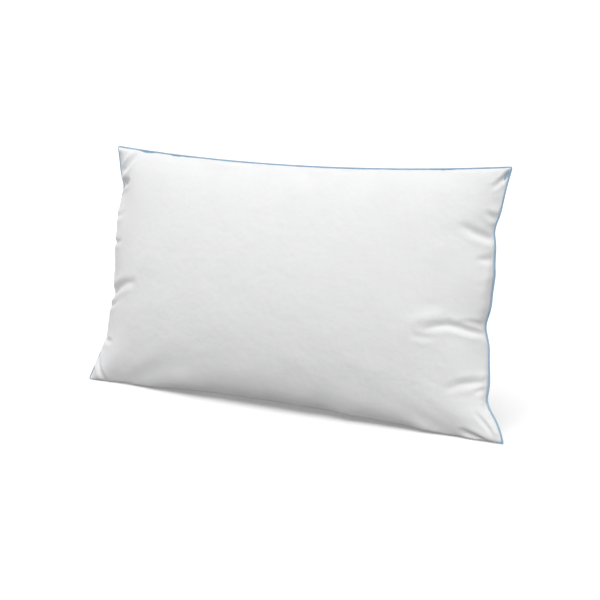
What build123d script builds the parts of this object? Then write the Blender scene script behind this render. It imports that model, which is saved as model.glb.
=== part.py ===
from build123d import *
import math
import os

# Bed pillow with a corded edge, in millimetres. +Z is up and the front faces -Y.
# The pillow stands on one long seam and leans back. The origin lies on the floor,
# under the middle of the whole pillow.
#
# The casing is drawn in its seam plane first: x along the width, z up the plane,
# y across it, with z = 0 where the plane meets the floor. It is drawn as if it
# hung a little below the floor. Then it leans back about the X axis and is cut
# flat where it rests.

# Driving dimensions
TOP_WIDTH = 852.0           # ear to ear along the top, before the ears are rounded
BOTTOM_WIDTH = 880.0        # ear to ear along the floor, before the ears are rounded
HEIGHT = 475.0              # floor to the top ears, up the seam plane
TOP_SAG = 23.0              # how far the top edge dips between its ears
SIDE_SAG = 23.0             # how far each side pulls in between its ears
EAR_RADIUS = 12.0           # of the piping, at each corner
INNER_RADIUS = 3.0          # of the turned-in cloth, at each corner
LEAN = 8.5                  # degrees back from upright
FRONT_DEPTH = 78.0          # crown of the front panel, from the seam plane
BACK_DEPTH = 84.0           # crown of the back panel
FRONT_SLUMP = 0.08          # how much fuller the front is low down
BACK_SLUMP = 0.42           # how much fuller the back is low down
FLOOR_DIP = 30.0            # how far the unpressed casing would hang below the floor
RIM = 1.2                   # half thickness of the casing at its seam

FABRIC = 0.7                # panel cloth
CORD_DIAMETER = 2.0         # filler cord in the piping
TAPE_BORE = 2.1             # room for the cord inside the folded tape
TAPE_DIAMETER = 3.2         # folded tape round the cord
TAPE_FLANGE = 0.8           # both raw edges of the tape, lying together
ALLOWANCE = 12.0            # width of cloth turned into the seam
ALLOWANCE_CLOTH = 0.4       # panel cloth pressed flat in the seam
LAYER_GAP = 0.05            # air between layers that lie together
PIPING_GAP = 0.4            # air between the piping and the panels' edges
FILL_GAP = 0.2              # air between the cloth and the fill where they come closest
FILL_EASE = 3.5             # how much less the fill is crowned than the casing
THREAD_DIAMETER = 0.4
SEAM_INSET = 4.4            # from the cord's centre line to the stitch line
CLOSING_LENGTH = 180.0      # gap the fill went in through
CLOSING_STITCHES = 30
CLOSING_INSET = 7.0         # from the casing's edge to the closing row
CLOSING_HEIGHT = 245.0      # middle of the closing row, up the left side
CLOSING_DIAMETER = 0.6
CLOSING_SHARE = 0.6         # of each stitch's pitch that its thread shows
LABEL_WIDTH = 32.0          # along the seam
LABEL_LENGTH = 42.0         # from the seam across the back panel
LABEL_CLOTH = 0.6           # two folded layers
LABEL_HEIGHT = 110.0        # middle of the label, up the left side
LABEL_GAP = 0.3             # air between the label and the back panel
LABEL_START = 3.0           # from the casing's edge to where the label shows

COLUMNS = 17                # points across each crowned panel
ROWS = 15                   # points up each crowned panel
SETTLING_STEPS = 12         # rounds to place a point between four bowed edges
REACH = 1500.0              # larger than the pillow, for cutting

TAPE_RADIUS = TAPE_DIAMETER / 2
SEAM_BOTTOM = TAPE_RADIUS / math.cos(math.radians(LEAN))
FLANGE_HALF = TAPE_FLANGE / 2 + LAYER_GAP
SANDWICH_HALF = FLANGE_HALF + ALLOWANCE_CLOTH
PANEL_INSET = TAPE_RADIUS + PIPING_GAP
CHANNEL_HALF = TAPE_RADIUS + PIPING_GAP / 2
EAR_REACH = 1.4 * EAR_RADIUS    # from a low ear's sharp corner to where its arc has met the floor


def bow(half_span, sag, offset):
    """Depth of a circular bow of this half span and sag, at an offset from its middle."""
    radius = (half_span ** 2 + sag ** 2) / (2 * sag)
    return sag - (radius - math.sqrt(radius ** 2 - offset ** 2))


def top_edge(x):
    """Height of the cord's centre line along the top."""
    half = TOP_WIDTH / 2 - TAPE_RADIUS
    return HEIGHT - TAPE_RADIUS - bow(half, TOP_SAG, x)


def side_edge(z):
    """Distance from the middle to the cord's centre line up either side."""
    middle = HEIGHT / 2
    upward = z / HEIGHT
    straight = (BOTTOM_WIDTH * (1 - upward) + TOP_WIDTH * upward) / 2 - TAPE_RADIUS
    return straight - bow(middle, SIDE_SAG, z - middle)


def seam_plane_point(across, up, inset):
    """A point of the casing's flat shape, for across in -1..1 and up in 0..1."""
    z = HEIGHT * up
    for _ in range(SETTLING_STEPS):
        x = across * (side_edge(z) - inset)
        z = (inset - FLOOR_DIP) * (1 - up) + (top_edge(x) - inset) * up
    return x, z


def crown(s, t, depth, slump):
    """Distance of a panel from the seam plane, for s and t in -1..1."""
    swell = math.cos(math.pi * s / 2) * math.cos(math.pi * t / 2)
    return depth * swell * (1 - slump * math.sin(math.pi * t / 2))


def panel_point(s, t, side, inset, shrink, rim):
    """A point of the front (side -1) or back (side 1) panel's surface."""
    across = math.sin(math.pi * s / 2)
    up = (math.sin(math.pi * t / 2) + 1) / 2
    x, z = seam_plane_point(across, up, inset + PANEL_INSET)
    depth, slump = (FRONT_DEPTH, FRONT_SLUMP) if side < 0 else (BACK_DEPTH, BACK_SLUMP)
    y = side * (rim + crown(s, t, depth - shrink, slump))
    return x, y, z


def panel_surface(side, inset, shrink, rim):
    rows = []
    for j in range(ROWS):
        t = 2 * j / (ROWS - 1) - 1
        columns = [2 * i / (COLUMNS - 1) - 1 for i in range(COLUMNS)]
        rows.append([panel_point(s, t, side, inset, shrink, rim) for s in columns])
    return Face.make_surface_from_array_of_points(rows, tol=0.02, min_deg=3, max_deg=5)


def casing_shape(inset, shrink, rim):
    """A closed crowned form: two panels joined by a narrow rim."""
    front = panel_surface(-1, inset, shrink, rim)
    back = panel_surface(1, inset, shrink, rim)
    rims = []
    for edge in front.edges():
        mate = min(back.edges(), key=lambda other: (other.center() - edge.center()).length)
        rims.append(Face.make_surface_from_curves(edge, mate))
    return Solid(Shell([front, back, *rims]))


def lean(shape):
    return Rot(X=-LEAN) * shape


def above_floor(height):
    return Pos(0, 0, height + REACH / 2) * Box(2 * REACH, 2 * REACH, REACH)


def seam_loop(inset):
    """A loop this far inside the cord's centre line: three bowed edges and a straight foot."""
    foot = SEAM_BOTTOM + inset
    low = side_edge(foot) - inset
    high = side_edge(HEIGHT - TAPE_RADIUS) - inset
    top = top_edge(high) - inset
    middle = (foot + top) / 2
    waist = side_edge(middle) - inset
    edges = [
        Edge.make_line((-low, 0, foot), (low, 0, foot)),
        Edge.make_three_point_arc((low, 0, foot), (waist, 0, middle), (high, 0, top)),
        Edge.make_three_point_arc((high, 0, top), (0, 0, top_edge(0) - inset), (-high, 0, top)),
        Edge.make_three_point_arc((-high, 0, top), (-waist, 0, middle), (-low, 0, foot)),
    ]
    outline = Wire(edges)
    return outline.fillet_2d(max(EAR_RADIUS - inset, INNER_RADIUS), outline.vertices())


def tube(path, diameter):
    start = Plane(path ^ 0)
    return sweep(start * Circle(diameter / 2), path=path)


def flat_region(path, thickness):
    """The region inside a loop of the seam plane, as a slab centred on that plane."""
    face = Face(path)
    return extrude(face, amount=thickness / 2, both=True)


def seam_ring(inner_inset, thickness):
    """A flat band of the seam plane, from the cord's centre line inwards."""
    return flat_region(seam_loop(0), thickness) - flat_region(seam_loop(inner_inset), thickness)


def foot_channel(half, height):
    """A straight block along the low seam, to hollow the casing or the fill there."""
    width = 2 * side_edge(SEAM_BOTTOM)
    return Pos(0, 0, height / 2 - FLOOR_DIP / 2) * Box(width, 2 * half, height + FLOOR_DIP)


def trim_region():
    """Everything inside the piping's loop, and under it between the two low ears."""
    inside = flat_region(seam_loop(0).offset_2d(-CHANNEL_HALF), REACH)
    width = 2 * (side_edge(SEAM_BOTTOM) - EAR_REACH)
    under = Pos(0, 0, -2 * FLOOR_DIP + EAR_RADIUS) * Box(width, REACH, 4 * FLOOR_DIP)
    return inside + under


def half_space(side):
    offset = side * (FLANGE_HALF + REACH / 2)
    return Pos(0, offset, 0) * Box(2 * REACH, REACH, 2 * REACH)


def casing_walls():
    """Both panels in one: crowned walls, turned-in allowances and the lip over the foot piping."""
    outer = lean(casing_shape(0, 0, RIM)) & above_floor(0) & lean(trim_region())
    inner = lean(casing_shape(FABRIC, FABRIC, RIM - FABRIC / 2)) & above_floor(FABRIC)
    allowances = seam_ring(ALLOWANCE, 2 * SANDWICH_HALF)
    channel_top = SEAM_BOTTOM + CHANNEL_HALF
    lip = foot_channel(CHANNEL_HALF + FABRIC, channel_top + FABRIC)
    turned_in = lean(allowances + lip) & outer
    return (outer - inner) + turned_in - lean(foot_channel(CHANNEL_HALF, channel_top))


def panel(walls, side):
    return walls & lean(half_space(side))


def piping_tape(path):
    bore = tube(path, TAPE_BORE)
    sleeve = tube(path, TAPE_DIAMETER) - bore
    return lean(sleeve + (seam_ring(ALLOWANCE, TAPE_FLANGE) - bore))


def fibre_fill():
    """The fill stops short of the seam, and is notched over the foot of the seam."""
    cloth = FABRIC + FILL_GAP
    form = lean(casing_shape(ALLOWANCE + FILL_GAP, cloth + FILL_EASE, RIM)) & above_floor(cloth)
    notch = foot_channel(CHANNEL_HALF + cloth, ALLOWANCE + 2 * CHANNEL_HALF)
    return form - lean(notch)


def seam_thread(side):
    """One thread of the lockstitch, lying on the allowance of its own panel."""
    lift = SANDWICH_HALF + LAYER_GAP + THREAD_DIAMETER / 2
    return lean(tube(Pos(0, side * lift, 0) * seam_loop(SEAM_INSET), THREAD_DIAMETER))


def back_surface_point(inset, z, lift):
    """A point just off the back panel, this far in from the left edge at this height."""
    x_edge = side_edge(z) - PANEL_INSET
    across = (x_edge - inset) / x_edge
    bottom = PANEL_INSET - FLOOR_DIP
    top = top_edge(x_edge - inset) - PANEL_INSET
    up = (z - bottom) / (top - bottom)
    s = 2 * math.asin(across) / math.pi
    t = 2 * math.asin(2 * up - 1) / math.pi
    return Vector(-(x_edge - inset), RIM + lift + crown(s, t, BACK_DEPTH, BACK_SLUMP), z)


def closing_stitches():
    """A row of short stitches beside the piping, on the back of the left side."""
    pitch = CLOSING_LENGTH / CLOSING_STITCHES
    stitch = CLOSING_SHARE * pitch
    stitches = []
    for i in range(CLOSING_STITCHES):
        z = CLOSING_HEIGHT - CLOSING_LENGTH / 2 + (i + 0.5) * pitch
        low = back_surface_point(CLOSING_INSET, z - stitch / 2, CLOSING_DIAMETER)
        high = back_surface_point(CLOSING_INSET, z + stitch / 2, CLOSING_DIAMETER)
        along = Plane(origin=low, z_dir=high - low)
        rod = Solid.make_cylinder(CLOSING_DIAMETER / 2, (high - low).length, along)
        stitches.append(lean(rod))
    return Compound(stitches)


def care_label():
    """A blank folded tab that leaves the left seam and lies on the back panel."""
    lift = LABEL_GAP + LABEL_CLOTH
    over = casing_shape(-lift, -lift, RIM)
    under = casing_shape(-LABEL_GAP, -LABEL_GAP, RIM)
    x_edge = side_edge(LABEL_HEIGHT) - PANEL_INSET
    centre = Pos(-x_edge + LABEL_START + LABEL_LENGTH / 2, REACH / 2 + RIM, LABEL_HEIGHT)
    outline = centre * Box(LABEL_LENGTH, REACH, LABEL_WIDTH)
    return lean((over - under) & outline)


def build():
    path = seam_loop(0)
    walls = casing_walls()
    parts = {
        "front_panel": panel(walls, -1),
        "back_panel": panel(walls, 1),
        "fiber_fill": fibre_fill(),
        "piping_cord": lean(tube(path, CORD_DIAMETER)),
        "piping_tape": piping_tape(path),
        "needle_thread": seam_thread(-1),
        "bobbin_thread": seam_thread(1),
        "closing_stitches": closing_stitches(),
        "care_label": care_label(),
    }
    section = math.pi * CORD_DIAMETER ** 2 / 4
    print("piping length", round(path.length, 1), "mm")
    print("cord volume over section times length", parts["piping_cord"].volume / (section * path.length))
    return parts


def write(parts):
    os.makedirs("parts", exist_ok=True)
    box = Compound([parts["front_panel"], parts["back_panel"], parts["piping_tape"]]).bounding_box()
    print("size", box.size, "shift", -box.center().X, -box.center().Y)
    centred = Pos(-box.center().X, -box.center().Y, 0)
    for name, shape in parts.items():
        export_step(centred * shape, f"parts/{name}.step")


write(build())
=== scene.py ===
import math

import bpy
import numpy as np
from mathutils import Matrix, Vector, noise


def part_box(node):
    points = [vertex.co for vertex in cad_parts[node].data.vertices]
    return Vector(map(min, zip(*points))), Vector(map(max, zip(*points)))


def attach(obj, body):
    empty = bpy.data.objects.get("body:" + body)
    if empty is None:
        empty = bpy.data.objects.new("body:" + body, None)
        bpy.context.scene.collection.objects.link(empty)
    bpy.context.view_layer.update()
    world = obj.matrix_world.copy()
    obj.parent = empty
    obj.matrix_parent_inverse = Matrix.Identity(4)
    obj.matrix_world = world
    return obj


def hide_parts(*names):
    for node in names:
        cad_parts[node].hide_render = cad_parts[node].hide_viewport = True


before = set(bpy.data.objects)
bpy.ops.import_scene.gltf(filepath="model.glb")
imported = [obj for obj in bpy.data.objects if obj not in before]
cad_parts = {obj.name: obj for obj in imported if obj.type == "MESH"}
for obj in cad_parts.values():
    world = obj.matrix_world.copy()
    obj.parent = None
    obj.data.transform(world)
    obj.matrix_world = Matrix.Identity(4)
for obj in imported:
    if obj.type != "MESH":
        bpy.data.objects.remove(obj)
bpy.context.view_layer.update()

# ---------------------------------------------------------------- the seam plane
# Everything is in metres. The casing is drawn in its seam plane first: x along
# the width, up the plane from where it meets the floor, and out across it, with
# the front negative. lay_back() then leans it and lets it rest on the floor.
tape_low, tape_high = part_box("piping_tape")
TAPE_RADIUS = 0.0016
LEAN = math.atan2(tape_high.y - tape_low.y - 2 * TAPE_RADIUS, tape_high.z - tape_low.z - 2 * TAPE_RADIUS)
SEAM_Y = tape_low.y + TAPE_RADIUS - TAPE_RADIUS * math.tan(LEAN)
HALF_LOW = tape_high.x - 0.0010         # low ears
TOP_LEFT = HALF_LOW - 0.0185            # top ears
TOP_RIGHT = HALF_LOW - 0.0105
SEAM_HEIGHT = (tape_high.z - TAPE_RADIUS) / math.cos(LEAN) + 0.0030
FOOT = 2 * TAPE_RADIUS                  # the panels' edges lie on top of the foot piping
TOP_SAG = 0.0186
LEFT_SAG = 0.0248
RIGHT_SAG = 0.0217
FOOT_ARCH = 0.0150                      # how far the foot seam stands off the floor in its middle
FRONT_DIP = 0.0240                      # how far the front belly hangs below its even form
FRONT_DIP_START = 0.030                 # share of the height over which it drops
BACK_DIP = 0.040                        # how far the back belly would hang below the floor
BACK_DIP_START = 0.07                   # share of the height over which the back belly drops
FRONT_CROWN = 0.0775
BACK_CROWN = 0.0790
LEFT_FULLNESS = 0.80                    # of the side arches: 1 is even, and less is squarer
RIGHT_FULLNESS = 0.98
FRONT_RISE = 1.128
BACK_RISE = 0.95
FRONT_SLUMP = 0.170
BACK_SLUMP = 0.30
LIFT_OFF = 0.0003                       # of the pressed cloth over the floor
# Places where the side seams are drawn in: side, share of the height, depth, spread
PINCHES = (
    (1, 0.770, 0.0065, 0.045),
    (1, 0.415, 0.0085, 0.050),
    (1, 0.135, 0.0105, 0.050),
    (1, 0.600, -0.0025, 0.040),
    (-1, 0.835, 0.0065, 0.040),
    (-1, 0.380, 0.0060, 0.035),
    (-1, 0.200, 0.0030, 0.050),
)
# How far each low ear is pulled out and forward, left then right
EAR_PULL = ((-0.004, -0.018), (0.021, -0.015))
SPILL = 0.004                           # how far the front spills forward beside the right ear
SPILL_AT = 0.80                         # share of the half width
SPILL_WIDTH = 0.16
SPILL_HEIGHT = 0.13                     # share of the height
EAR_SPREAD = 0.14                       # of the pull, as a share of the panel

COLUMNS = 145                           # cloth points across a panel
ROWS = 79                               # cloth points up a panel


def even_steps(count, half_span, crown):
    """Sines of the angles that divide an arched section into equal lengths of cloth."""
    angle = np.linspace(-math.pi / 2, math.pi / 2, 2001)
    speed = np.hypot(half_span * np.cos(angle), crown * np.sin(angle))
    length = np.concatenate([[0], np.cumsum((speed[1:] + speed[:-1]) / 2)])
    even = np.interp(np.linspace(0, length[-1], count), length, angle)
    return np.sin(even)


def top_edge(across):
    return SEAM_HEIGHT - TOP_SAG * (1 - across ** 2)


def side_edges(up):
    """Distances of the left and right seams from the middle, at a share of the height."""
    bow = 1 - np.abs(2 * up - 1) ** 3
    left = HALF_LOW * (1 - up) + TOP_LEFT * up - LEFT_SAG * bow
    right = HALF_LOW * (1 - up) + TOP_RIGHT * up - RIGHT_SAG * bow
    return left, right


def flat_outline(across, up):
    """A point inside the seam, for across in -1..1 and up in 0..1."""
    left, right = side_edges(up)
    x = (right - left) / 2 + across * (right + left) / 2
    for side, at, depth, spread in PINCHES:
        x = x - side * depth * np.exp(-((up - at) / spread) ** 2) * np.clip(side * across, 0, 1) ** 7
    foot = FOOT_ARCH * (1 - across ** 2)
    height = foot * (1 - up) + top_edge(across) * up
    return x, height


def belly(across, up, dip, start):
    """How far a panel hangs below its even form. The pillow rests on its back belly."""
    drop = np.minimum(1, np.sqrt(up / start)) * (1 - up) ** 2
    return dip * drop * (1 - across ** 8)


def panel_points(side):
    """The unpressed panel: rows of points from the floor seam to the top seam."""
    half_height = SEAM_HEIGHT / 2
    across = even_steps(COLUMNS, HALF_LOW, FRONT_CROWN)[None, :]
    rise = even_steps(ROWS, half_height, FRONT_CROWN)[:, None]
    crown, fullness, slump = (FRONT_CROWN, FRONT_RISE, FRONT_SLUMP)
    if side > 0:
        crown, fullness, slump = (BACK_CROWN, BACK_RISE, BACK_SLUMP)
    x, height = flat_outline(across, (rise + 1) / 2)
    dip, start = (FRONT_DIP, FRONT_DIP_START) if side < 0 else (BACK_DIP, BACK_DIP_START)
    height = height - belly(across, (rise + 1) / 2, dip, start)
    side_fullness = np.where(across < 0, LEFT_FULLNESS, RIGHT_FULLNESS)
    arch = np.sqrt(np.clip(1 - across ** 2, 0, 1)) ** side_fullness
    arch = arch * np.sqrt(np.clip(1 - rise ** 2, 0, 1)) ** fullness
    out = side * crown * arch * (1 - slump * rise)
    if side < 0:
        at_spill = np.exp(-((across - SPILL_AT) / SPILL_WIDTH) ** 2 - ((rise + 1) / 2 / SPILL_HEIGHT) ** 2)
        out = out - SPILL * at_spill * np.clip((rise + 1) / 0.04, 0, 1) * np.clip((1 - across) / 0.08, 0, 1)
    points = lay_back(x + 0 * rise, height, out)
    for side_sign, (wide, forward) in zip((-1, 1), EAR_PULL):
        from_ear = np.hypot(across - side_sign, (rise + 1) / 2)
        pull = np.exp(-(from_ear / EAR_SPREAD) ** 2)
        points[..., 0] += wide * pull
        points[..., 1] += forward * pull
    return points


def lay_back(x, height, out):
    """Leans a point of the seam plane back and presses it onto the floor."""
    z = height * math.cos(LEAN) - out * math.sin(LEAN)
    y = SEAM_Y + np.maximum(height, 0) * math.sin(LEAN) + out * math.cos(LEAN)
    return np.stack([x, y, np.maximum(z, LIFT_OFF)], axis=-1)


def foot_edge(points):
    """The panels' edges lie on top of the piping along the floor."""
    points[0, :, 2] = np.maximum(points[0, :, 2], FOOT)
    return points


# ---------------------------------------------------------------- mesh helpers
def new_piece(name, points, faces):
    mesh = bpy.data.meshes.new(name)
    mesh.from_pydata(np.asarray(points).reshape(-1, 3).tolist(), [], [list(map(int, f)) for f in faces])
    mesh.update()
    piece = bpy.data.objects.new(name, mesh)
    bpy.context.scene.collection.objects.link(piece)
    return piece


def pick(piece):
    bpy.ops.object.select_all(action="DESELECT")
    piece.select_set(True)
    bpy.context.view_layer.objects.active = piece


def add_modifier(piece, kind, **settings):
    """Adds a modifier, sets it and applies it."""
    modifier = piece.modifiers.new(kind.title(), kind)
    for name, value in settings.items():
        setattr(modifier, name, value)
    pick(piece)
    bpy.ops.object.modifier_apply(modifier=modifier.name)


def smooth(piece, degrees=None):
    pick(piece)
    if degrees is None:
        bpy.ops.object.shade_smooth()
    else:
        bpy.ops.object.shade_smooth_by_angle(angle=math.radians(degrees))


def face_outwards(piece):
    pick(piece)
    bpy.ops.object.mode_set(mode="EDIT")
    bpy.ops.mesh.select_all(action="SELECT")
    bpy.ops.mesh.normals_make_consistent(inside=False)
    bpy.ops.object.mode_set(mode="OBJECT")


def loop_vertices(mesh):
    """The vertex number at each corner of each face."""
    corners = np.empty(len(mesh.loops), int)
    mesh.loops.foreach_get("vertex_index", corners)
    return corners


def vertex_array(mesh):
    flat = np.empty(len(mesh.vertices) * 3)
    mesh.vertices.foreach_get("co", flat)
    return flat.reshape(-1, 3)


def set_vertices(mesh, points):
    mesh.vertices.foreach_set("co", np.asarray(points, float).ravel())
    mesh.update()


def grid_faces(index):
    """Four-sided faces between the neighbours of a grid of vertex numbers."""
    corners = [index[:-1, :-1], index[:-1, 1:], index[1:, 1:], index[1:, :-1]]
    return np.stack(corners, axis=-1).reshape(-1, 4)


def closed_tube_faces(rings, corners):
    """Faces of a tube whose last ring joins its first."""
    index = np.arange(rings * corners).reshape(rings, corners)
    wrapped = np.vstack([index, index[:1]])
    return grid_faces(np.hstack([wrapped, wrapped[:, :1]]))


def sewn(front, back):
    """One list of points for two grids that share their edges."""
    return np.concatenate([front.reshape(-1, 3), back[1:-1, 1:-1].reshape(-1, 3)])


def sewn_grids(rows, columns):
    """Vertex numbers of such a pair of grids, and the faces of both."""
    front = np.arange(rows * columns).reshape(rows, columns)
    back = front.copy()
    inside = np.arange((rows - 2) * (columns - 2)).reshape(rows - 2, columns - 2)
    back[1:-1, 1:-1] = rows * columns + inside
    return front, back, np.concatenate([grid_faces(front), grid_faces(back)[:, ::-1]])


# ---------------------------------------------------------------- the filled casing
CUT_WIDTH = 0.872                       # the panels laid flat, seam to seam
CUT_HEIGHT = 0.512
SWELL_FRAMES = 24
SWELL_CLOTH = {
    "quality": 6,
    "mass": 0.001,
    "tension_stiffness": 40,
    "compression_stiffness": 40,
    "shear_stiffness": 25,
    "bending_stiffness": 4.0,
    "air_damping": 4,
    "use_pressure": True,
    "uniform_pressure_force": 30.0,
}
DENT_DEPTH = 0.024                      # of the slack cloth that the swelling starts from
DENT_SPREAD = 3.0                       # in cloth points
DENT_CLEARANCE = 0.001                  # cloth lower than this keeps to the floor
FRONT_SEED = 3
BACK_SEED = 5
CUT_GAP = 0.002                         # half the gap between the panels as they are cut
WRINKLE_CAP = 0.009                     # the most that a wrinkle may stand from the even form
FINE_BAND = 1.2                         # wrinkles narrower than this many cloth points are dropped
EVEN_OUT = 6.0                          # and so are those wider than this many
EDGE_REACH = 0.085                      # from the seam, where the front is wrinkled most
FRONT_CALM = 0.30                       # share of the wrinkles that the middle of the front keeps
BACK_CALM = 0.75

front_index, back_index, closed_faces = sewn_grids(ROWS, COLUMNS)


def flat_cut(side):
    """The panel as it is cut, laid flat."""
    u = np.linspace(-CUT_WIDTH / 2, CUT_WIDTH / 2, COLUMNS)[None, :] + np.zeros((ROWS, 1))
    v = np.linspace(0, CUT_HEIGHT, ROWS)[:, None] + np.zeros((1, COLUMNS))
    return np.stack([u, np.full_like(u, side * CUT_GAP), v], axis=-1)


def swell(front, back):
    """Blows the sewn panels up for a few frames, with the seam and the pressed foot held."""
    piece = new_piece("casing_blank", sewn(front, back), closed_faces)
    piece.shape_key_add(name="even")
    cut = piece.shape_key_add(name="cut")
    cut.data.foreach_set("co", sewn(flat_cut(-1), flat_cut(1)).ravel())
    cut.value = 0
    held = piece.vertex_groups.new(name="held")
    points = vertex_array(piece.data)
    pinned = np.zeros(len(points), bool)
    pinned[np.concatenate([front_index[0], front_index[-1], front_index[:, 0], front_index[:, -1]])] = True
    pinned |= points[:, 2] <= LIFT_OFF + 1e-6
    held.add(np.nonzero(pinned)[0].tolist(), 1.0, "REPLACE")
    cloth = piece.modifiers.new("Cloth", "CLOTH")
    settings = cloth.settings
    for name, value in SWELL_CLOTH.items():
        setattr(settings, name, value)
    settings.vertex_group_mass = "held"
    settings.rest_shape_key = cut
    settings.effector_weights.gravity = 0
    cloth.collision_settings.use_collision = False
    cloth.point_cache.frame_start = 1
    cloth.point_cache.frame_end = SWELL_FRAMES
    for step in range(1, SWELL_FRAMES + 1):
        bpy.context.scene.frame_set(step)
    swollen = piece.evaluated_get(bpy.context.evaluated_depsgraph_get())
    points = vertex_array(swollen.data)
    bpy.context.scene.frame_set(1)
    bpy.data.objects.remove(piece)
    return points[front_index], points[back_index]


def even_out(field, spread):
    """A gaussian average over neighbouring cloth points."""
    reach = int(3 * spread)
    weights = np.exp(-0.5 * (np.arange(-reach, reach + 1) / spread) ** 2)
    weights /= weights.sum()
    for axis in (0, 1):
        pad = [(0, 0)] * 3
        pad[axis] = (reach, reach)
        wide = np.pad(field, pad, mode="reflect", reflect_type="odd")
        count = field.shape[axis]
        parts = [w * np.take(wide, range(k, k + count), axis=axis) for k, w in enumerate(weights)]
        field = sum(parts)
    return field


def slack(points, side, seed):
    """The panel before it swells, with seeded soft dents to start the wrinkles from."""
    dents = np.random.default_rng(seed).normal(size=points.shape[:2])
    dents = even_out(np.repeat(dents[..., None], 3, axis=2), DENT_SPREAD)[..., 0]
    dents[0] = dents[-1] = 0
    dents[:, 0] = dents[:, -1] = 0
    dents[points[..., 2] < DENT_CLEARANCE] = 0
    slack_points = points.copy()
    slack_points[..., 1] += side * dents * DENT_DEPTH
    return slack_points


def from_seam(u, v):
    """Distance from a place of the cut panel to its nearest seam."""
    return np.minimum(CUT_WIDTH / 2 - np.abs(u), np.minimum(v, CUT_HEIGHT - v))


def wrinkled(even, swollen, calm):
    """The even form with the simulated cloth's wrinkles on it, calmer in its middle."""
    moved = swollen - even
    wrinkles = even_out(moved, FINE_BAND) - even_out(moved, EVEN_OUT)
    size = np.linalg.norm(wrinkles, axis=-1, keepdims=True)
    wrinkles *= WRINKLE_CAP * np.tanh(size / WRINKLE_CAP) / np.maximum(size, 1e-9)
    cut = flat_cut(0)
    near_seam = np.exp(-(from_seam(cut[..., 0], cut[..., 2]) / EDGE_REACH) ** 2)
    result = even + wrinkles * (calm + (1 - calm) * near_seam)[..., None]
    result[..., 2] = np.maximum(result[..., 2], LIFT_OFF)
    for edge in (np.s_[0], np.s_[-1], np.s_[:, 0], np.s_[:, -1]):
        result[edge] = even[edge]
    return result


front_even = foot_edge(panel_points(-1))
back_even = foot_edge(panel_points(1))
front_slack = slack(front_even, -1, FRONT_SEED)
back_slack = slack(back_even, 1, BACK_SEED)
front_blown, back_blown = swell(front_slack, back_slack)
front_form = wrinkled(front_even, front_blown, FRONT_CALM)
back_form = wrinkled(back_even, back_blown, BACK_CALM)


# ---------------------------------------------------------------- panels
CLOTH_THICKNESS = 0.0005

# Creases of the front: depth, half width, then the places they run through, in metres
# from the middle of the foot seam along and up the cut panel. A negative depth is a ridge.
FRONT_CREASES = (
    (0.0042, 0.0054, ((0.432, 0.203), (0.410, 0.209), (0.384, 0.216), (0.360, 0.220), (0.336, 0.217),
                      (0.312, 0.207))),
    (0.0026, 0.0040, ((0.436, 0.215), (0.416, 0.222), (0.396, 0.226), (0.380, 0.227))),
    (0.0014, 0.0050, ((0.330, 0.198), (0.310, 0.197), (0.288, 0.199))),
    (-0.0018, 0.0085, ((0.350, 0.238), (0.315, 0.230), (0.280, 0.216))),
    (0.0032, 0.0060, ((0.436, 0.119), (0.405, 0.124), (0.380, 0.122), (0.352, 0.112))),
    (0.0030, 0.0045, ((0.434, 0.108), (0.420, 0.110), (0.404, 0.108))),
    (0.0040, 0.0060, ((0.436, 0.361), (0.418, 0.367), (0.392, 0.376), (0.360, 0.392))),
    (0.0028, 0.0050, ((0.436, 0.400), (0.418, 0.405), (0.398, 0.414))),
    (0.0026, 0.0050, ((0.436, 0.330), (0.420, 0.331), (0.396, 0.330))),
    (0.0045, 0.0055, ((0.433, 0.494), (0.420, 0.474), (0.402, 0.455))),
    (0.0050, 0.0060, ((0.372, 0.038), (0.390, 0.026), (0.402, 0.010))),
    (0.0028, 0.0035, ((0.404, 0.070), (0.412, 0.050), (0.416, 0.030))),
    (0.0024, 0.0032, ((0.424, 0.082), (0.427, 0.060), (0.427, 0.038))),
    (0.0062, 0.0055, ((-0.372, 0.490), (-0.384, 0.472), (-0.402, 0.452), (-0.424, 0.440))),
    (0.0080, 0.0060, ((-0.433, 0.414), (-0.415, 0.418), (-0.388, 0.430))),
    (0.0050, 0.0065, ((-0.430, 0.195), (-0.400, 0.212), (-0.365, 0.228), (-0.328, 0.236))),
    (0.0030, 0.0045, ((-0.430, 0.172), (-0.405, 0.182), (-0.385, 0.192))),
    (0.0050, 0.0055, ((-0.428, 0.078), (-0.415, 0.056), (-0.396, 0.034), (-0.384, 0.014))),
    (0.0030, 0.0045, ((-0.430, 0.110), (-0.410, 0.108), (-0.385, 0.112))),
    (0.0026, 0.0045, ((-0.432, 0.300), (-0.412, 0.302), (-0.388, 0.308))),
    (0.0024, 0.0045, ((-0.432, 0.350), (-0.410, 0.355), (-0.390, 0.363))),
)
# The same for the back
BACK_CREASES = (
    (0.0075, 0.0080, ((0.434, 0.214), (0.405, 0.222), (0.370, 0.220), (0.330, 0.208))),
    (0.0055, 0.0070, ((0.434, 0.365), (0.410, 0.372), (0.375, 0.392))),
    (0.0050, 0.0060, ((0.430, 0.492), (0.412, 0.470), (0.390, 0.452))),
    (0.0060, 0.0070, ((-0.433, 0.405), (-0.405, 0.414), (-0.370, 0.430))),
    (0.0055, 0.0070, ((-0.432, 0.300), (-0.405, 0.296), (-0.365, 0.300))),
    (0.0045, 0.0060, ((-0.428, 0.486), (-0.405, 0.468), (-0.380, 0.455))),
    (0.0060, 0.0070, ((-0.428, 0.175), (-0.395, 0.165), (-0.350, 0.160))),
    (0.0045, 0.0060, ((0.428, 0.100), (0.398, 0.112), (0.365, 0.115))),
)
PUCKER_DEPTH = 0.0011                   # of the small gathers beside the piping
PUCKER_REACH = 0.018                    # from the seam into the panel
PUCKER_PITCH = 0.013
EDGE_KEPT = 0.010                       # from the seam, where the creases fade out


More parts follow.
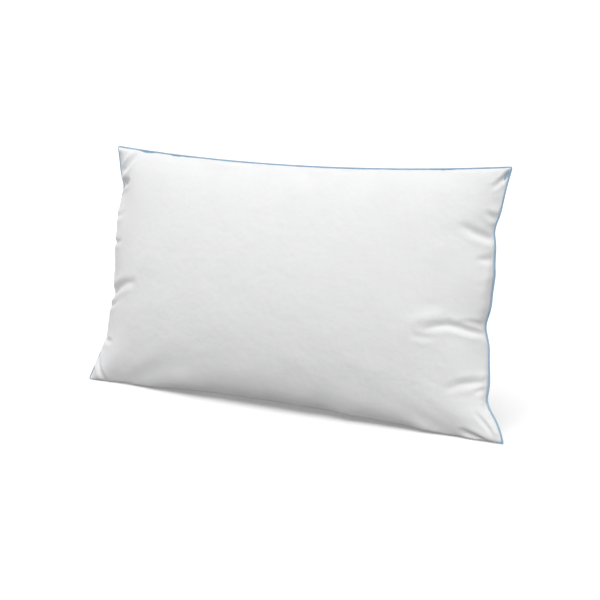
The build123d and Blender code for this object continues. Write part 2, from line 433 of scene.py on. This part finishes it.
def crease_depth(places, depth, half_width, route):
    """How deep one crease presses each point of the cut panel."""
    ends = np.array(route)
    steps = np.linalg.norm(np.diff(ends, axis=0), axis=1)
    before = np.concatenate([[0], np.cumsum(steps)])
    nearest = np.full(len(places), 1e9)
    share = np.zeros(len(places))
    for start, end, step, passed in zip(ends[:-1], ends[1:], steps, before):
        along = (end - start) / step
        run = np.clip((places - start) @ along, 0, step)
        distance = np.linalg.norm(places - start - run[:, None] * along, axis=1)
        share = np.where(distance < nearest, (passed + run) / before[-1], share)
        nearest = np.minimum(nearest, distance)
    fade = np.clip((1 - share) * 2, 0, 1) ** 0.8 * np.clip(share * 3 + 0.4, 0, 1)
    valley = np.exp(-(nearest / half_width) ** 2)
    lips = 0.30 * np.exp(-((nearest - 2.1 * half_width) / half_width) ** 2)
    return depth * fade * (valley - lips)


def pucker_depth(places, seed):
    """Small gathers across the seam, where the stitching draws the cloth up."""
    u, v = places[:, 0], places[:, 1]
    aside = CUT_WIDTH / 2 - np.abs(u)
    above = CUT_HEIGHT - v
    near = np.maximum(from_seam(u, v), 0)
    along_seam = np.where(aside < np.minimum(above, v), v, u)
    offset = np.where(aside < np.minimum(above, v), np.sign(u) * 3.1, np.sign(v - CUT_HEIGHT / 2) * 1.7)
    route = np.stack([along_seam / PUCKER_PITCH, offset + seed, near / 0.04], axis=1)
    waves = np.array([noise.noise(Vector(p)) for p in route])
    shape = np.clip(near / 0.003, 0, 1) * np.exp(-(near / PUCKER_REACH) ** 1.5)
    return PUCKER_DEPTH * waves * 2 * shape


def press_creases(piece, creases, seed):
    """Presses the creases and the seam's gathers into a panel, across its surface."""
    mesh = piece.data
    flat = np.empty(len(mesh.loops) * 2)
    mesh.uv_layers["cloth"].data.foreach_get("uv", flat)
    places = np.empty((len(mesh.vertices), 2))
    places[loop_vertices(mesh)] = flat.reshape(-1, 2)
    pressed = pucker_depth(places, seed)
    for depth, half_width, route in creases:
        pressed += crease_depth(places, depth, half_width, route)
    pressed *= np.clip(from_seam(places[:, 0], places[:, 1]) / EDGE_KEPT, 0, 1)
    normals = np.empty(len(mesh.vertices) * 3)
    mesh.vertices.foreach_get("normal", normals)
    points = vertex_array(mesh)
    moved = points - normals.reshape(-1, 3) * pressed[:, None]
    moved[:, 2] = np.maximum(moved[:, 2], np.minimum(points[:, 2], LIFT_OFF))
    set_vertices(mesh, moved)


def panel(name, form, facing):
    """One panel of the casing: a sheet of cloth with its cut size as its UV map."""
    faces = grid_faces(front_index)
    piece = new_piece(name, form, faces if facing < 0 else faces[:, ::-1])
    cloth = piece.data.uv_layers.new(name="cloth")
    places = flat_cut(facing).reshape(-1, 3)[:, [0, 2]]
    cloth.data.foreach_set("uv", places[loop_vertices(piece.data)].ravel())
    add_modifier(piece, "SUBSURF", levels=1, render_levels=1)
    return piece


front_panel = panel("front_panel.cloth", front_form, -1)
back_panel = panel("back_panel.cloth", back_form, 1)
press_creases(front_panel, FRONT_CREASES, 0.0)
press_creases(back_panel, BACK_CREASES, 40.0)


# ---------------------------------------------------------------- tubes along the seam
OUT = Vector((0, math.cos(LEAN), -math.sin(LEAN)))      # from the seam plane towards the back
CORD_RADIUS = 0.0010
PIPING_STANDS = 0.55                    # of its radius, from the panels' edges to the cord's centre
FLANGE_REACH = 0.0075                   # of the tape's raw edges, from the cord's centre
LOOP_POINTS = 900
TAPE_CLOTH = 0.00045                    # thickness of the tape
TAPE_MOUTH = 0.25                       # half the angle at which the tape leaves the cord, outside
TAPE_SLIT = 0.06                        # and inside
TAPE_UNEVEN = 0.035                     # share by which its section wanders in size
TAPE_UNEVEN_SCALE = 90
CORD_LAY = 330                          # times a lobe passes one side of the cord, once round
CORD_LOBE = 0.1                         # of its radius, that its three lobes stand out


def rim_points(form):
    """The panel's edge, once round from the low left ear."""
    return np.concatenate([form[0, :-1], form[:-1, -1], form[-1, :0:-1], form[:0:-1, 0]])


def smooth_loop(points, count):
    """Evenly spaced points along the closed spline that these points control."""
    curve = bpy.data.curves.new("route", "CURVE")
    curve.dimensions = "3D"
    curve.resolution_u = 4
    spline = curve.splines.new("NURBS")
    spline.points.add(len(points) - 1)
    spline.points.foreach_set("co", np.column_stack([points, np.ones(len(points))]).ravel())
    spline.order_u = 4
    spline.use_cyclic_u = True
    route = bpy.data.objects.new("route", curve)
    traced = bpy.data.meshes.new_from_object(route)
    line = vertex_array(traced)
    bpy.data.objects.remove(route)
    step = np.linalg.norm(np.roll(line, -1, axis=0) - line, axis=1)
    length = np.concatenate([[0], np.cumsum(step)])
    closed = np.vstack([line, line[:1]])
    even = np.linspace(0, length[-1], count, endpoint=False)
    return np.stack([np.interp(even, length, closed[:, k]) for k in range(3)], axis=1)


def loop_frames(line):
    """For each point of the seam loop: the ways outward in the seam plane, and across it."""
    along = np.roll(line, -1, axis=0) - np.roll(line, 1, axis=0)
    along /= np.linalg.norm(along, axis=1, keepdims=True)
    out = np.array(OUT)
    outward = np.cross(out, along)
    outward /= np.linalg.norm(outward, axis=1, keepdims=True)
    return outward, np.broadcast_to(out, line.shape)


def run_along(name, line, outward, across, section, grow=None):
    """A closed tube along a closed line. The section is a ring of (outward, across) points."""
    section = np.asarray(section)
    count, corners = len(line), len(section)
    scale = np.ones(count) if grow is None else grow
    points = line[:, None, :] + (outward[:, None, :] * section[None, :, :1] +
                                 across[:, None, :] * section[None, :, 1:]) * scale[:, None, None]
    piece = new_piece(name, points, closed_tube_faces(count, corners))
    face_outwards(piece)
    round_the_section = np.concatenate([[0], np.cumsum(np.linalg.norm(
        np.diff(np.vstack([section, section[:1]]), axis=0), axis=1))])
    steps = np.linalg.norm(np.diff(np.vstack([line, line[:1]]), axis=0), axis=1)
    along_the_line = np.concatenate([[0], np.cumsum(steps)])
    give_run_uv(piece, count, corners, along_the_line, round_the_section)
    smooth(piece, 50)
    return piece


def give_run_uv(piece, count, corners, lengths, girth):
    """A UV map in metres: along the run, and round its section."""
    layer = piece.data.uv_layers.new(name="cloth")
    row, column = np.divmod(loop_vertices(piece.data).reshape(-1, 4), corners)
    row = np.where((row == 0) & (row.max(axis=1, keepdims=True) == count - 1), count, row)
    column = np.where((column == 0) & (column.max(axis=1, keepdims=True) == corners - 1), corners, column)
    layer.data.foreach_set("uv", np.stack([lengths[row], girth[column]], axis=-1).ravel())


def arc(radius, start, end, corners, to_end=True):
    """Points along an arc, with or without the one at its end."""
    angles = np.linspace(start, end, corners, endpoint=to_end)
    return np.stack([radius * np.cos(angles), radius * np.sin(angles)], axis=1)


def tape_section():
    """The folded tape in section: round the cord and back, with both raw edges inwards."""
    outer = arc(TAPE_RADIUS, math.pi - TAPE_MOUTH, -math.pi + TAPE_MOUTH, 17)
    inner = arc(TAPE_RADIUS - TAPE_CLOTH, -math.pi + TAPE_SLIT, math.pi - TAPE_SLIT, 13, to_end=False)
    fold = outer[0, 1]
    low_edge = [(-FLANGE_REACH, -fold), (-FLANGE_REACH, inner[0, 1])]
    high_edge = [(-FLANGE_REACH, inner[-1, 1]), (-FLANGE_REACH, fold)]
    return np.vstack([outer, low_edge, inner, high_edge])


def piping():
    """The blue tape with its cord, all round the casing."""
    edge = smooth_loop(rim_points(front_form), LOOP_POINTS)
    outward, across = loop_frames(edge)
    centre = edge + outward * TAPE_RADIUS * PIPING_STANDS
    centre[:, 2] = np.maximum(centre[:, 2], TAPE_RADIUS)
    pucker = np.array([noise.noise(Vector(p) * TAPE_UNEVEN_SCALE) for p in centre])
    thickness = 1 + TAPE_UNEVEN * pucker
    tape = run_along("piping_tape.cloth", centre, outward, across, tape_section(), thickness)
    twist = np.arange(LOOP_POINTS) * (2 * math.pi * CORD_LAY / LOOP_POINTS)
    cord = twisted_cord(centre, outward, across, twist)
    return tape, cord, centre, outward


def twisted_cord(line, outward, across, twist):
    """Three strands laid together: a round cord with three turning lobes."""
    corners = 12
    angles = np.linspace(0, 2 * math.pi, corners, endpoint=False)
    lobes = np.cos(3 * (angles[None, :] - twist[:, None] / 3))
    radius = CORD_RADIUS * (1 - CORD_LOBE + CORD_LOBE * lobes)
    ring_out = (radius * np.cos(angles))[..., None] * outward[:, None, :]
    ring_across = (radius * np.sin(angles))[..., None] * across[:, None, :]
    points = line[:, None, :] + ring_out + ring_across
    piece = new_piece("piping_cord.twist", points, closed_tube_faces(len(line), corners))
    smooth(piece)
    return piece


# ---------------------------------------------------------------- seam threads
STITCH_PITCH = 0.003
STITCH_POINTS = 6                       # of the thread's line in each stitch
SEAM_INSET = 0.0044                     # from the cord's centre to the stitch line
THREAD_RADIUS = 0.00018
THREAD_LIFT = 0.0009                    # of the threads from the middle of the seam
THREAD_DIP = 0.0006                     # towards it, at each stitch


def seam_thread(name, line, outward, side):
    """One thread of the lockstitch: it lies along its own panel and dips in at each stitch."""
    inset = line - outward * SEAM_INSET
    length = np.linalg.norm(np.diff(np.vstack([inset, inset[:1]]), axis=0), axis=1).sum()
    stitches = int(round(length / STITCH_PITCH))
    route = smooth_loop(inset, stitches * STITCH_POINTS)
    way_out, way_across = loop_frames(route)
    turn = np.arange(len(route)) % STITCH_POINTS / STITCH_POINTS * 2 * math.pi
    lift = side * (THREAD_LIFT - THREAD_DIP * np.clip(np.cos(turn), 0, 1) ** 2)
    route = route + way_across * lift[:, None]
    return run_along(name, route, way_out, way_across, arc(THREAD_RADIUS, 0, 2 * math.pi, 5, to_end=False))


# ---------------------------------------------------------------- closing row and label
CLOSING_LENGTH = 0.180
CLOSING_STITCHES = 30
CLOSING_INSET = 0.007
CLOSING_MIDDLE = 0.245                  # up the left side
CLOSING_RADIUS = 0.00028
CLOSING_SHARE = 0.62                    # of its pitch that a stitch shows
CLOSING_DRIFT = 0.00015                 # of the stitches off their line
CLOSING_SINK = 0.0009                   # of a stitch's ends into the cloth
CLOSING_SEED = 11


def on_back(u, v, lift):
    """The point a little off the back panel at a place of its cut, and the way off it there."""
    column = (u + CUT_WIDTH / 2) / CUT_WIDTH * (COLUMNS - 1)
    row = v / CUT_HEIGHT * (ROWS - 1)
    i, j = int(min(row, ROWS - 2)), int(min(column, COLUMNS - 2))
    a, b = row - i, column - j
    low = back_form[i, j] * (1 - b) + back_form[i, j + 1] * b
    high = back_form[i + 1, j] * (1 - b) + back_form[i + 1, j + 1] * b
    _, place, normal, _ = back_panel.closest_point_on_mesh(Vector(low * (1 - a) + high * a))
    return place + normal * lift, normal


def up_the_cut(height):
    """The place along the cut panel's left edge that stands at this height."""
    return np.interp(height, back_even[:, 2, 2], np.linspace(0, CUT_HEIGHT, ROWS))


def closing_row():
    """A row of stitches beside the piping, over the gap that the fill went in through."""
    pitch = CLOSING_LENGTH / CLOSING_STITCHES
    points, faces = [], []
    rings, corners = 7, 8
    rng = np.random.default_rng(CLOSING_SEED)
    for i in range(CLOSING_STITCHES):
        middle = up_the_cut(CLOSING_MIDDLE) + (i + 0.5 - CLOSING_STITCHES / 2) * pitch
        drift = rng.normal(0, CLOSING_DRIFT)
        first = len(points)
        for k in range(rings):
            share = k / (rings - 1) * 2 - 1
            v = middle + share * pitch * CLOSING_SHARE / 2
            sunk = CLOSING_SINK * abs(share) ** 4
            u = -CUT_WIDTH / 2 + CLOSING_INSET + drift
            centre, normal = on_back(u, v, CLOSING_RADIUS * 0.9 - sunk)
            beyond, _ = on_back(u, v + 0.001, CLOSING_RADIUS * 0.9 - sunk)
            along = (beyond - centre).normalized()
            aside = along.cross(normal).normalized()
            for angle in np.linspace(0, 2 * math.pi, corners, endpoint=False):
                way = normal * math.cos(angle) + aside * math.sin(angle)
                points.append(centre + way * CLOSING_RADIUS)
        index = np.arange(first, first + rings * corners).reshape(rings, corners)
        wrapped = np.hstack([index, index[:, :1]])
        faces += grid_faces(wrapped).tolist()
        faces.append(index[0].tolist())
        faces.append(index[-1, ::-1].tolist())
    piece = new_piece("closing_stitches.thread", points, faces)
    face_outwards(piece)
    smooth(piece, 60)
    return piece


LABEL_WIDTH = 0.032
LABEL_LENGTH = 0.042
LABEL_MIDDLE = 0.110
LABEL_START = 0.002                     # from the panel's edge
LABEL_CLOTH = 0.00022
LABEL_FOLD = 0.0006                     # half the gap between the label's two layers at its fold
LABEL_LIFT = 0.0006                     # of its lower layer off the panel
LABEL_CURL = 0.0030                     # of its free end
LABEL_RIPPLE = 0.0006


def care_label():
    """A blank satin tab: one strip folded in two, its ends in the seam, lying on the back panel."""
    rows, columns = 15, 13
    out = np.linspace(0, 1, rows)
    turn = np.linspace(0, math.pi, 7)[1:-1]
    points = []
    middle = up_the_cut(LABEL_MIDDLE)
    profile = [(share * LABEL_LENGTH, LABEL_LIFT) for share in out]
    for t in turn:
        height = LABEL_LIFT + LABEL_FOLD * (1 - math.cos(t))
        profile.append((LABEL_LENGTH + math.sin(t) * LABEL_FOLD, height))
    profile += [(share * LABEL_LENGTH, LABEL_LIFT + 2 * LABEL_FOLD) for share in out[::-1]]
    for reach, height in profile:
        share = reach / LABEL_LENGTH
        for column in range(columns):
            aside = column / (columns - 1) - 0.5
            v = middle + aside * LABEL_WIDTH
            ripple = LABEL_RIPPLE * math.sin(7 * share + 4 * aside)
            curl = LABEL_CURL * share ** 2 * (0.6 + 1.2 * aside ** 2) + ripple
            flatter = height * (0.35 + 0.65 * share) if height > 0.001 else height
            place, _ = on_back(-CUT_WIDTH / 2 + LABEL_START + reach, v, flatter + curl + LABEL_LIFT)
            points.append(place)
    index = np.arange(len(points)).reshape(-1, columns)
    piece = new_piece("care_label.satin", points, grid_faces(index))
    layer = piece.data.uv_layers.new(name="cloth")
    row, column = np.divmod(loop_vertices(piece.data), columns)
    run = np.linspace(0, 2 * LABEL_LENGTH, len(profile))
    flat = np.stack([run[row], column / (columns - 1) * LABEL_WIDTH], axis=1)
    layer.data.foreach_set("uv", flat.ravel())
    add_modifier(piece, "SUBSURF", levels=1, render_levels=1)
    add_modifier(piece, "SOLIDIFY", thickness=LABEL_CLOTH, offset=0)
    smooth(piece, 60)
    return piece


# ---------------------------------------------------------------- fill
FILL_MARGIN = 3                         # cloth points between the seam and the fill
FILL_EASE = 0.0022                      # from the panels to the fill
FILL_LUMP = 0.0016


def moved_in(form, facing, seed):
    """The inside of a panel, a little under it, with soft seeded lumps."""
    across = np.gradient(form, axis=1)
    up = np.gradient(form, axis=0)
    normal = np.cross(across, up)
    normal /= np.maximum(np.linalg.norm(normal, axis=-1, keepdims=True), 1e-12)
    lumps = np.array([noise.fractal(Vector(p) * 38 + Vector((seed, 0, 0)), 0.8, 2.1, 3)
                      for p in form.reshape(-1, 3)]).reshape(form.shape[:2])
    depth = FILL_EASE + FILL_LUMP * np.clip(lumps + 0.5, 0, 1.5)
    inner = form + facing * normal * depth[..., None]
    return inner[FILL_MARGIN:-FILL_MARGIN, FILL_MARGIN:-FILL_MARGIN]


def cloth_grid(piece):
    """The panel's own cloth points, which come first in its subdivided mesh."""
    return vertex_array(piece.data)[:ROWS * COLUMNS].reshape(ROWS, COLUMNS, 3)


def fibre_fill():
    """The loose polyester clusters, taken together as one soft body inside the casing."""
    front = moved_in(cloth_grid(front_panel), -1, 0.0)
    back = moved_in(cloth_grid(back_panel), 1, 9.0)
    rows, columns = front.shape[:2]
    middle = (front + back) / 2
    r = np.minimum(np.arange(rows), np.arange(rows)[::-1])[:, None]
    c = np.minimum(np.arange(columns), np.arange(columns)[::-1])[None, :]
    rounded = np.sqrt(np.clip(np.minimum(r, c) / 4, 0, 1))[..., None]
    front = middle + (front - middle) * rounded
    back = middle + (back - middle) * rounded
    faces = sewn_grids(rows, columns)[2]
    piece = new_piece("fiber_fill.batting", sewn(front, back), faces)
    face_outwards(piece)
    add_modifier(piece, "SUBSURF", levels=1, render_levels=1)
    smooth(piece)
    return piece


# ---------------------------------------------------------------- shader helpers
class Value:
    """A number that varies over a surface. Arithmetic on it adds Math nodes."""

    def __init__(self, finish, socket):
        self.finish = finish
        self.socket = socket

    def _math(self, operation, *others):
        values = dict(enumerate(others))
        node = self.finish.node("ShaderNodeMath", {"operation": operation}, values)
        return Value(self.finish, node.outputs[0])

    def __add__(self, other):
        return self._math("ADD", self, other)

    def __radd__(self, other):
        return self._math("ADD", other, self)

    def __sub__(self, other):
        return self._math("SUBTRACT", self, other)

    def __rsub__(self, other):
        return self._math("SUBTRACT", other, self)

    def __mul__(self, other):
        return self._math("MULTIPLY", self, other)

    def __rmul__(self, other):
        return self._math("MULTIPLY", other, self)

    def sine(self):
        return self._math("SINE", self)


class Finish:
    """A material built node by node round one Principled shader."""

    def __init__(self, name, color, roughness, **settings):
        self.material = bpy.data.materials.new(name)
        self.material.use_nodes = True
        self.tree = self.material.node_tree
        self.shader = self.tree.nodes["Principled BSDF"]
        self.shader.inputs["Base Color"].default_value = (*color, 1)
        self.shader.inputs["Roughness"].default_value = roughness
        self.shader.inputs["Specular IOR Level"].default_value = 0.25
        for socket, value in settings.items():
            self.shader.inputs[socket.replace("_", " ")].default_value = value

    def node(self, kind, settings=None, values=None):
        """Adds a node: its settings first, then the values or links of its sockets."""
        node = self.tree.nodes.new(kind)
        for name, value in (settings or {}).items():
            setattr(node, name, value)
        for name, value in (values or {}).items():
            if isinstance(value, Value):
                value = value.socket
            if isinstance(value, bpy.types.NodeSocket):
                self.tree.links.new(value, node.inputs[name])
            else:
                node.inputs[name].default_value = value
        return node

    def places(self, uv=None):
        """Object coordinates, or a UV map's."""
        if uv:
            return self.node("ShaderNodeUVMap", {"uv_map": uv}).outputs["UV"]
        return self.node("ShaderNodeTexCoord").outputs["Object"]

    def parts(self, vector):
        split = self.node("ShaderNodeSeparateXYZ", values={"Vector": vector})
        return [Value(self, socket) for socket in split.outputs]

    def noise(self, vector, scale, detail=2.0, roughness=0.5, distortion=0.0):
        values = {"Vector": vector, "Scale": scale, "Detail": detail}
        values.update({"Roughness": roughness, "Distortion": distortion})
        return Value(self, self.node("ShaderNodeTexNoise", values=values).outputs["Fac"])

    def blend(self, amount, low, high):
        """A colour between two, by a value from 0 to 1."""
        values = {0: amount, 6: (*low, 1), 7: (*high, 1)}
        return self.node("ShaderNodeMix", {"data_type": "RGBA"}, values).outputs[2]

    def color(self, socket):
        self.tree.links.new(socket, self.shader.inputs["Base Color"])

    def roughness(self, value):
        self.tree.links.new(value.socket, self.shader.inputs["Roughness"])

    def bump(self, height, depth, under=None):
        """Raises the surface by height, from 0 to 1, times depth in metres."""
        values = {"Height": height, "Distance": depth, "Strength": 1.0}
        if under is not None:
            values["Normal"] = under
        return self.node("ShaderNodeBump", values=values).outputs["Normal"]

    def normal(self, socket):
        self.tree.links.new(socket, self.shader.inputs["Normal"])

    def on(self, *pieces):
        for piece in pieces:
            piece.data.materials.clear()
            piece.data.materials.append(self.material)


# ---------------------------------------------------------------- finishes
THREAD_PITCH = 0.0005                   # of the casing's weave
TAPE_PITCH = 0.00036
LABEL_LINE_PITCH = 0.00022              # of the fine lines along the label
LABEL_FLOAT_PITCH = 0.0011              # of the sheen's bars across it
TWO_PI = 2 * math.pi
PIPING_BLUE = (0.31, 0.46, 0.61)
PIPING_SHADE = (0.265, 0.410, 0.555)
PIPING_LIGHT = (0.360, 0.515, 0.665)


def woven_cotton():
    """Close plain weave: threads cross over and under, a little uneven, with a few thick slubs."""
    finish = Finish("casing cotton", (0.86, 0.86, 0.865), 0.85, Sheen_Weight=0.25, Sheen_Roughness=0.5)
    cloth = finish.places("cloth")
    u, v, _ = finish.parts(cloth)
    wander = finish.noise(cloth, 90.0, 2.0) * 0.9
    warp = (u * (TWO_PI / THREAD_PITCH) + wander).sine()
    weft = (v * (TWO_PI / THREAD_PITCH) + wander).sine()
    weave = warp * weft * 0.5 + 0.5
    stretched = finish.node("ShaderNodeMapping", values={"Vector": cloth, "Scale": (1.0, 9.0, 1.0)})
    slub = finish.noise(stretched.outputs["Vector"], 120.0, 3.0)
    lumps = finish.noise(finish.places(), 20.0, 3.0, 0.55)
    dimples = finish.noise(finish.places(), 70.0, 2.0, 0.5)
    soft = finish.bump(lumps * 0.75 + dimples * 0.25, 0.0022)
    finish.normal(finish.bump(weave * 0.6 + slub * 0.5, 0.00010, soft))
    # Part of this tone is painted shade: darker in the hollows between the fill's lumps and lighter on
    # them. The rest comes from the slubs and the weave.
    tone_and_lump_shade = slub * 0.4 + lumps * 0.4 + weave * 0.2
    finish.color(finish.blend(tone_and_lump_shade, (0.830, 0.833, 0.840), (0.890, 0.890, 0.894)))
    finish.roughness(slub * 0.12 + 0.78)
    return finish


def bias_tape():
    """Blue plain weave cut on the bias, so that its threads run slantwise along the piping."""
    finish = Finish("piping cotton", PIPING_BLUE, 0.8, Sheen_Weight=0.2, Sheen_Roughness=0.5)
    run, girth, _ = finish.parts(finish.places("cloth"))
    one_way = ((run + girth) * (TWO_PI / TAPE_PITCH)).sine()
    other_way = ((run - girth) * (TWO_PI / TAPE_PITCH)).sine()
    weave = one_way * other_way * 0.5 + 0.5
    fade = finish.noise(finish.places(), 160.0, 3.0)
    finish.normal(finish.bump(weave * 0.7 + fade * 0.5, 0.00008))
    finish.color(finish.blend(weave * 0.45 + fade * 0.55, PIPING_SHADE, PIPING_LIGHT))
    finish.roughness(fade * 0.15 + 0.72)
    return finish


def cord_cotton():
    """Raw cotton yarn: creamy, with fine fibres and darker flecks."""
    finish = Finish("cord cotton", (0.78, 0.75, 0.67), 0.92)
    fibres = finish.noise(finish.places(), 900.0, 3.0)
    flecks = finish.noise(finish.places(), 240.0, 2.0)
    finish.normal(finish.bump(fibres, 0.00012))
    finish.color(finish.blend(fibres * 0.5 + flecks * 0.5, (0.64, 0.60, 0.51), (0.86, 0.83, 0.76)))
    return finish


def sewing_thread():
    """Polyester thread: fine fibres, with lighter and darker lengths."""
    finish = Finish("sewing thread", (0.84, 0.84, 0.85), 0.45, Sheen_Weight=0.1)
    strands = finish.noise(finish.places(), 1600.0, 2.0)
    bands = finish.noise(finish.places(), 420.0, 1.0)
    finish.normal(finish.bump(strands, 0.00006))
    finish.color(finish.blend(strands * 0.6 + bands * 0.4, (0.72, 0.72, 0.735), (0.92, 0.92, 0.925)))
    finish.roughness(strands * 0.2 + 0.38)
    return finish


def label_satin():
    """Smooth white satin with fine lines along the strip, and no text."""
    finish = Finish("label satin", (0.88, 0.88, 0.885), 0.38, Sheen_Weight=0.15)
    run, aside, _ = finish.parts(finish.places("cloth"))
    lines = (aside * (TWO_PI / LABEL_LINE_PITCH)).sine() * 0.5 + 0.5
    floats_and_sheen = (run * (TWO_PI / LABEL_FLOAT_PITCH) + lines * 3.0).sine() * 0.5 + 0.5
    handled = finish.noise(finish.places(), 60.0, 3.0)
    finish.normal(finish.bump(lines * 0.6 + floats_and_sheen * 0.4, 0.00004))
    # The colour is lighter along the sheen's bars across the strip: painted sheen.
    finish.color(finish.blend(floats_and_sheen * 0.4 + handled * 0.6, (0.84, 0.84, 0.848), (0.91, 0.91, 0.915)))
    finish.roughness(handled * 0.2 + 0.28)
    return finish


def fill_fibre():
    """Curled polyester fibre: white fluff with soft shadows between its clusters."""
    finish = Finish("polyester fibre", (0.9, 0.9, 0.9), 0.95, Sheen_Weight=0.4, Sheen_Roughness=0.6)
    clusters = finish.noise(finish.places(), 55.0, 4.0, 0.65, 1.2)
    fibres = finish.noise(finish.places(), 700.0, 4.0, 0.7, 2.0)
    tufts = finish.bump(clusters, 0.0035)
    finish.normal(finish.bump(fibres, 0.0005, tufts))
    # The colour is darker between the clusters: painted shade.
    finish.color(finish.blend(clusters * 0.6 + fibres * 0.4, (0.76, 0.76, 0.77), (0.95, 0.95, 0.95)))
    return finish


# ---------------------------------------------------------------- the pieces together
def finish_panel(piece, node):
    add_modifier(piece, "SOLIDIFY", thickness=CLOTH_THICKNESS, offset=-1)
    smooth(piece)
    stands_for(piece, node)


def stands_for(piece, node):
    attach(piece, "root")
    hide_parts(node)


tape, cord, seam_line, seam_outward = piping()
needle_thread = seam_thread("needle_thread.lockstitch", seam_line, seam_outward, -1)
bobbin_thread = seam_thread("bobbin_thread.lockstitch", seam_line, seam_outward, 1)
closing_stitches = closing_row()
label = care_label()
fill = fibre_fill()

finish_panel(front_panel, "front_panel")
finish_panel(back_panel, "back_panel")
stands_for(tape, "piping_tape")
stands_for(cord, "piping_cord")
stands_for(needle_thread, "needle_thread")
stands_for(bobbin_thread, "bobbin_thread")
stands_for(closing_stitches, "closing_stitches")
stands_for(label, "care_label")
stands_for(fill, "fiber_fill")

woven_cotton().on(front_panel, back_panel)
bias_tape().on(tape)
cord_cotton().on(cord)
sewing_thread().on(needle_thread, bobbin_thread, closing_stitches)
label_satin().on(label)
fill_fibre().on(fill)


# ---------------------------------------------------------------- floor, light and camera
FLOOR_SIZE = 30
FLOOR_GLOW = 0.10
WALL_RADIUS = 14
WALL_HEIGHT = 28
WALL_GLOW = 1.25


def floor():
    """A pale floor. Its diffuse light is kept off the pillow."""
    bpy.ops.mesh.primitive_plane_add(size=FLOOR_SIZE, location=(0, 0, 0))
    plane = bpy.context.object
    plane.name = "floor"
    finish = Finish("floor", (0.93, 0.93, 0.93), 0.9, Emission_Strength=FLOOR_GLOW)
    finish.shader.inputs["Emission Color"].default_value = (1, 1, 1, 1)
    finish.on(plane)
    plane.visible_diffuse = False


def backdrop():
    """A white wall all round. It casts no shadow and sends the pillow no diffuse light."""
    bpy.ops.mesh.primitive_cylinder_add(vertices=96, radius=WALL_RADIUS, depth=WALL_HEIGHT,
                                        end_fill_type="NOTHING")
    wall = bpy.context.object
    wall.name = "backdrop"
    finish = Finish("backdrop", (0.9, 0.9, 0.9), 0.9, Emission_Strength=WALL_GLOW)
    finish.shader.inputs["Emission Color"].default_value = (1, 1, 1, 1)
    finish.on(wall)
    wall.visible_diffuse = False
    wall.visible_shadow = False


def soft_sun(name, azimuth, elevation, spread, strength):
    """A wide soft light from an azimuth, where 0 is in front and 90 is +X, and an elevation."""
    data = bpy.data.lights.new(name, "SUN")
    data.angle = math.radians(spread)
    data.energy = strength
    light = bpy.data.objects.new(name, data)
    turn, rise = math.radians(azimuth), math.radians(elevation)
    source = Vector((math.sin(turn) * math.cos(rise), -math.cos(turn) * math.cos(rise), math.sin(rise)))
    light.rotation_euler = (-source).to_track_quat("-Z", "Y").to_euler()
    bpy.context.scene.collection.objects.link(light)


WORLD_STRENGTH = 0.22
LIGHT_SPREAD = 60
LIGHTS = (                              # azimuth, elevation, strength
    ("front_high", 0, 60, 2.10),
    ("left_high", -45, 60, 0.24),
    ("front_low", 0, 10, 0.36),
    ("right_low", 60, 10, 0.50),
    ("back_fill", 155, 28, 1.30),
)


def studio():
    world = bpy.data.worlds.new("studio")
    world.use_nodes = True
    world.node_tree.nodes["Background"].inputs["Color"].default_value = (1, 1, 1, 1)
    world.node_tree.nodes["Background"].inputs["Strength"].default_value = WORLD_STRENGTH
    bpy.context.scene.world = world
    for name, azimuth, elevation, strength in LIGHTS:
        soft_sun(name, azimuth, elevation, LIGHT_SPREAD, strength)


CAMERA_TURN = math.radians(29.57)       # round from straight in front
CAMERA_TILT = math.radians(11.46)       # down from level
CAMERA_DISTANCE = 2.498
CAMERA_ASIDE = 0.0396                   # from the seam's middle, across the view
CAMERA_HEIGHT = 0.2065                  # of the point looked at
LENS = 80                               # millimetres, on a sensor this wide
SENSOR = 36


def camera():
    along = Vector((-math.sin(CAMERA_TURN) * math.cos(CAMERA_TILT),
                    math.cos(CAMERA_TURN) * math.cos(CAMERA_TILT), -math.sin(CAMERA_TILT)))
    aside = Vector((math.cos(CAMERA_TURN), math.sin(CAMERA_TURN), 0))
    target = aside * CAMERA_ASIDE + Vector((0, SEAM_Y, CAMERA_HEIGHT))
    data = bpy.data.cameras.new("camera")
    data.lens = LENS
    data.sensor_width = SENSOR
    eye = bpy.data.objects.new("camera", data)
    eye.location = target - along * CAMERA_DISTANCE
    eye.rotation_euler = along.to_track_quat("-Z", "Y").to_euler()
    bpy.context.scene.collection.objects.link(eye)
    bpy.context.scene.camera = eye


floor()
backdrop()
studio()
camera()
bpy.context.scene.view_settings.view_transform = "Standard"
